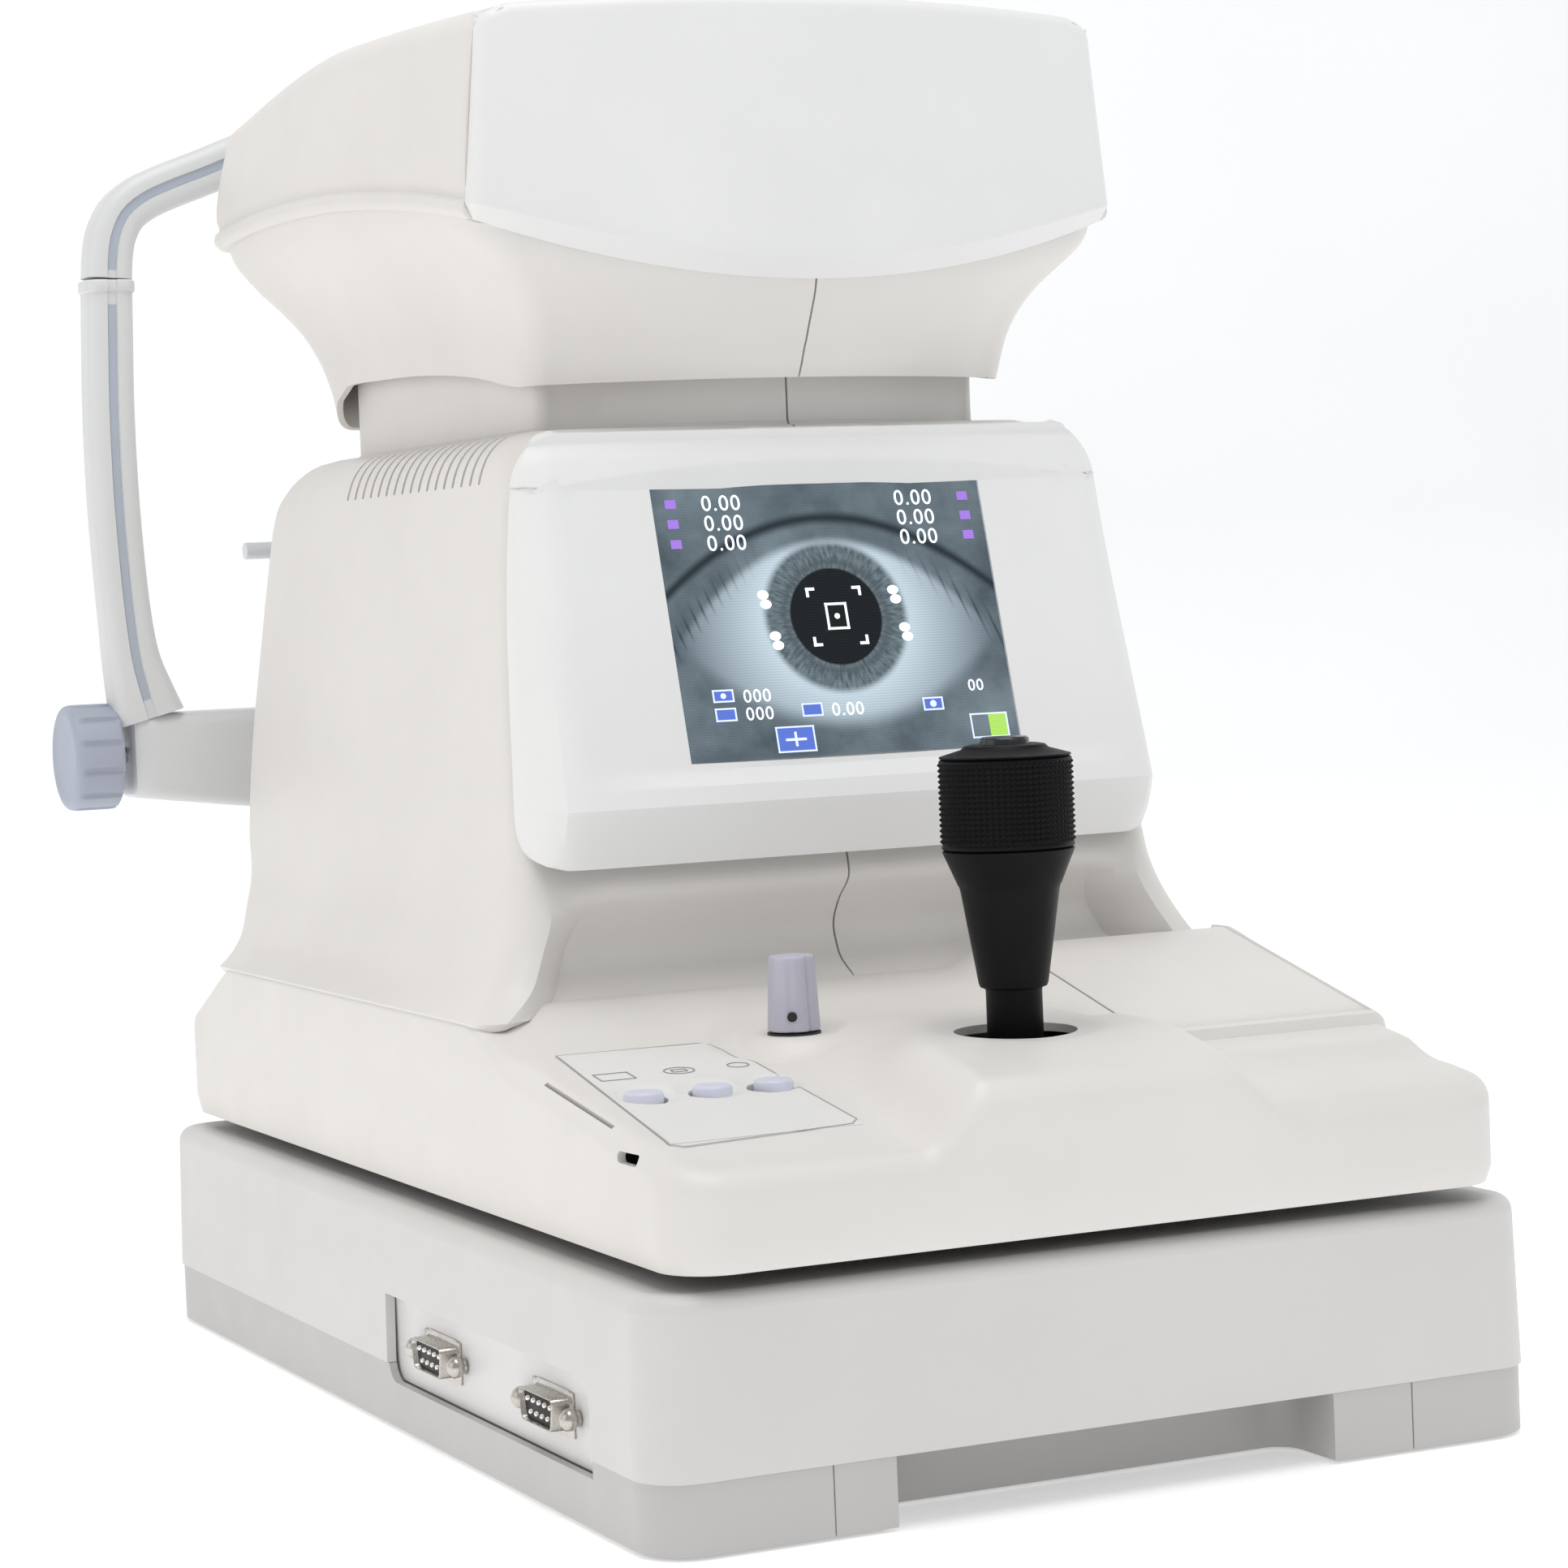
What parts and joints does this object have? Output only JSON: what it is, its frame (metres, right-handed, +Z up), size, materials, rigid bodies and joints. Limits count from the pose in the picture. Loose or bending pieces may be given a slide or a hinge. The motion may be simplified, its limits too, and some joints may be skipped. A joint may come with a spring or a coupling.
{
  "type": "autorefractor",
  "caption": "Desktop autorefractor: base, joystick stage with tilted screen, keys and paper printer, rising measuring head, and a patient's chin and forehead rest.",
  "frame": {"origin": "on the table, at the middle of the four table screws under the feet", "axes": "+X the operator's right, +Y from the operator towards the patient, +Z up"},
  "size_m": [0.3113, 0.551, 0.45],
  "materials": {
    "shell_white": "fine moulded texture, satin",
    "front_white": "fine moulded texture, satin",
    "base_white": "fine moulded texture",
    "skirt_grey": "fine moulded texture",
    "panel_white": "powder coat",
    "frame_white": "satin paint",
    "knob_lilac": "moulded",
    "grip_black": "moulded, knurled",
    "button_black": "polished",
    "foot_rubber": "moulded",
    "platen_rubber": "ground",
    "pad_soft": "soft silicone",
    "chin_plastic": "moulded",
    "plate_steel": "zinc plate",
    "shaft_steel": "ground",
    "nickel": "nickel plate",
    "cast_metal": "cast",
    "insert_black": "moulded",
    "socket_black": "moulded",
    "circuit_green": "solder mask",
    "motor_black": "satin",
    "screen": "display glass",
    "paper_white": "thermal paper",
    "lens_glass": "coated",
    "window_black": "matt black",
    "key_lilac": "moulded",
    "overlay_white": "printed film"
  },
  "bodies": {
    "base": {"base_housing": "base_white", "base_skirt": "skirt_grey", "base_plate": "plate_steel", "rubber_feet": "foot_rubber", "connector_panel": "panel_white", "connector_shells": "nickel", "connector_inserts": "insert_black", "power_inlet": "socket_black", "power_supply": "circuit_green", "y_rails": "shaft_steel", "support_bracket": "cast_metal", "crossbar": "frame_white", "left_post": "frame_white", "right_post": "frame_white", "upper_bow": "frame_white", "forehead_pad": "pad_soft"},
    "mains_rocker": {"power_switch": "socket_black"},
    "cross_slide": {"carriage_plate": "cast_metal", "y_bushings": "shaft_steel", "x_rails": "shaft_steel"},
    "stage": {"stage_plate": "plate_steel", "x_bushings": "shaft_steel", "tray_cover": "shell_white", "column_left": "shell_white", "column_right": "shell_white", "monitor_bezel": "front_white", "lcd_screen": "screen", "lcd_module": "cast_metal", "main_board": "circuit_green", "lift_frame": "shaft_steel", "lift_motor": "motor_black", "printer_body": "insert_black", "keypad_panel": "overlay_white", "joystick_base": "cast_metal"},
    "screw": {"lift_screw": "shaft_steel"},
    "head": {"head_front_cover": "front_white", "head_rear_cover": "shell_white", "cowl_left": "shell_white", "cowl_right": "shell_white", "optical_bench": "cast_metal", "lens_barrel": "motor_black", "measuring_window": "lens_glass", "window_ring": "window_black", "camera_module": "motor_black"},
    "focus": {"focus_carriage": "cast_metal"},
    "gimbal": {"gimbal_ring": "shaft_steel"},
    "joystick": {"joystick_lever": "grip_black"},
    "ring": {"height_ring": "grip_black"},
    "button": {"measure_button": "button_black"},
    "brightness": {"brightness_knob": "knob_lilac"},
    "print_key": {"key_print": "key_lilac"},
    "mode_key": {"key_mode": "key_lilac"},
    "menu_key": {"key_menu": "key_lilac"},
    "lid": {"printer_lid": "shell_white"},
    "roll": {"paper_roll": "paper_white"},
    "platen": {"platen_roller": "platen_rubber"},
    "chin_lift": {"chin_rack": "shaft_steel", "chin_cup": "chin_plastic"},
    "chin_drive": {"chin_shaft": "shaft_steel", "chin_knob": "knob_lilac"}
  },
  "joints": [
    {"name": "cross_slide_y", "type": "slide", "parent": "base", "child": "cross_slide", "axis": [0, 1, 0], "range_m": [-0.018, 0.018]},
    {"name": "stage_x", "type": "slide", "parent": "cross_slide", "child": "stage", "axis": [1, 0, 0], "range_m": [-0.043, 0.043]},
    {"name": "head_lift", "type": "slide", "parent": "stage", "child": "head", "axis": [0, 0, 1], "range_m": [-0.008, 0.017]},
    {"name": "lift_screw_turn", "type": "hinge", "parent": "stage", "child": "screw", "pos_m": [0, 0.06, 0.2], "axis": [0, 0, 1], "range_deg": [-600, 1750]},
    {"name": "focus_slide", "type": "slide", "parent": "head", "child": "focus", "axis": [0, 1, 0], "range_m": [-0.008, 0.008]},
    {"name": "joystick_fore_aft", "type": "hinge", "parent": "stage", "child": "gimbal", "pos_m": [0, -0.171, 0.092], "axis": [1, 0, 0], "range_deg": [-10, 10]},
    {"name": "joystick_side", "type": "hinge", "parent": "gimbal", "child": "joystick", "pos_m": [0, -0.171, 0.092], "axis": [0, 1, 0], "range_deg": [-10, 10]},
    {"name": "height_ring_turn", "type": "hinge", "parent": "joystick", "child": "ring", "pos_m": [0, -0.171, 0.19], "axis": [0, 0, 1], "range_deg": [-125, 365]},
    {"name": "measure_button_press", "type": "slide", "parent": "joystick", "child": "button", "axis": [0, 0, 1], "range_m": [-0.002, 0], "stiffness_N_per_m": 400, "springref_m": 0.0006},
    {"name": "brightness_turn", "type": "hinge", "parent": "stage", "child": "brightness", "pos_m": [-0.042, -0.111, 0.13], "axis": [0, 0, 1], "range_deg": [-140, 140]},
    {"name": "key_print_press", "type": "slide", "parent": "stage", "child": "print_key", "axis": [0, 0, 1], "range_m": [-0.0012, 0], "stiffness_N_per_m": 400, "springref_m": 0.0006},
    {"name": "key_mode_press", "type": "slide", "parent": "stage", "child": "mode_key", "axis": [0, 0, 1], "range_m": [-0.0012, 0], "stiffness_N_per_m": 400, "springref_m": 0.0006},
    {"name": "key_menu_press", "type": "slide", "parent": "stage", "child": "menu_key", "axis": [0, 0, 1], "range_m": [-0.0012, 0], "stiffness_N_per_m": 400, "springref_m": 0.0006},
    {"name": "lid_swing", "type": "hinge", "parent": "stage", "child": "lid", "pos_m": [0.0885, -0.077, 0.1357], "axis": [-1, 0, 0], "range_deg": [0, 60]},
    {"name": "roll_turn", "type": "hinge", "parent": "stage", "child": "roll", "pos_m": [0.0885, -0.112, 0.0995], "axis": [1, 0, 0], "continuous": true},
    {"name": "platen_turn", "type": "hinge", "parent": "stage", "child": "platen", "pos_m": [0.0885, -0.143, 0.109], "axis": [1, 0, 0], "continuous": true},
    {"name": "chin_rest_lift", "type": "slide", "parent": "base", "child": "chin_lift", "axis": [0, 0, 1], "range_m": [-0.015, 0.045]},
    {"name": "chin_knob_turn", "type": "hinge", "parent": "base", "child": "chin_drive", "pos_m": [0, 0.257, 0.203], "axis": [1, 0, 0], "range_deg": [-110, 325]},
    {"name": "mains_rocker_tilt", "type": "hinge", "parent": "base", "child": "mains_rocker", "pos_m": [0.13685, 0.118, 0.046], "axis": [0, 0, 1], "range_deg": [-8, 8]}
  ],
  "couplings": [
    {"joint": "lift_screw_turn", "follows": "head_lift", "rad_per_m": 1256.6},
    {"joint": "height_ring_turn", "follows": "head_lift", "rad_per_m": 261.8},
    {"joint": "platen_turn", "follows": "roll_turn", "ratio": 3.8},
    {"joint": "chin_knob_turn", "follows": "chin_rest_lift", "rad_per_m": 125}
  ]
}
